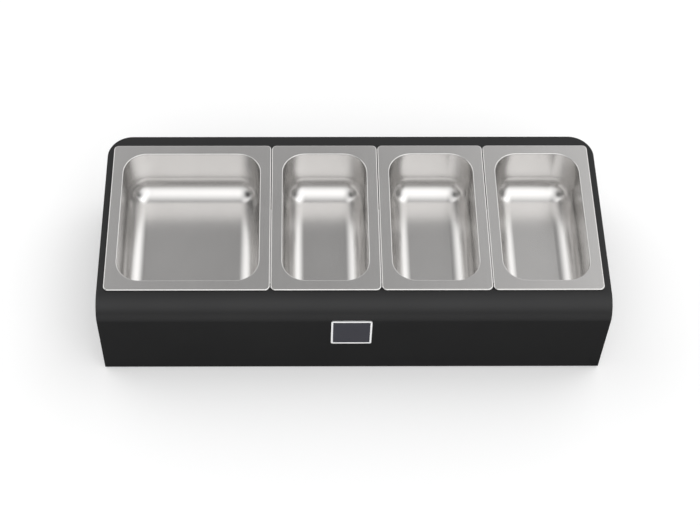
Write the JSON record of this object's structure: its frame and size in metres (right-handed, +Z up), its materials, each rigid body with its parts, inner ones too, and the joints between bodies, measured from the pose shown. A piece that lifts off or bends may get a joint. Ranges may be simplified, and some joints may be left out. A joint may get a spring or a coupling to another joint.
{
  "type": "topping station",
  "caption": "Counter housing of bent sheet with a rounded front edge, holding a row of lift-out steel food pans of two widths flush in its deck.",
  "frame": {"origin": "under the middle of the object's box, on the surface it stands on", "axes": "+X to the right along the row of pans, +Y from the front to the rear, +Z up out of the pans"},
  "size_m": [0.5, 0.2126, 0.1124],
  "materials": {
    "powder_coat": "fine-textured matt black powder coat on steel sheet",
    "pan_steel": "drawn stainless steel, finely brushed satin",
    "badge_metal": "bare metal plate with a dark satin field and a bright raised rim",
    "spring_steel": "plain spring steel",
    "foot_rubber": "matt black rubber"
  },
  "bodies": {
    "stand": {"deck_shell": "powder_coat", "wall_band": "powder_coat", "badge_plate": "badge_metal", "badge_clips": "spring_steel", "foot_front_left": "foot_rubber", "foot_front_right": "foot_rubber", "foot_rear_left": "foot_rubber", "foot_rear_right": "foot_rubber"},
    "large_pan": {"pan_large": "pan_steel"},
    "small_pan_left": {"pan_small_left": "pan_steel"},
    "small_pan_middle": {"pan_small_middle": "pan_steel"},
    "small_pan_right": {"pan_small_right": "pan_steel"}
  },
  "joints": [
    {"name": "lift_large_pan", "type": "slide", "parent": "stand", "child": "large_pan", "axis": [0, 0, 1], "range_m": [0, 0.09]},
    {"name": "lift_small_pan_left", "type": "slide", "parent": "stand", "child": "small_pan_left", "axis": [0, 0, 1], "range_m": [0, 0.09]},
    {"name": "lift_small_pan_middle", "type": "slide", "parent": "stand", "child": "small_pan_middle", "axis": [0, 0, 1], "range_m": [0, 0.09]},
    {"name": "lift_small_pan_right", "type": "slide", "parent": "stand", "child": "small_pan_right", "axis": [0, 0, 1], "range_m": [0, 0.09]}
  ]
}
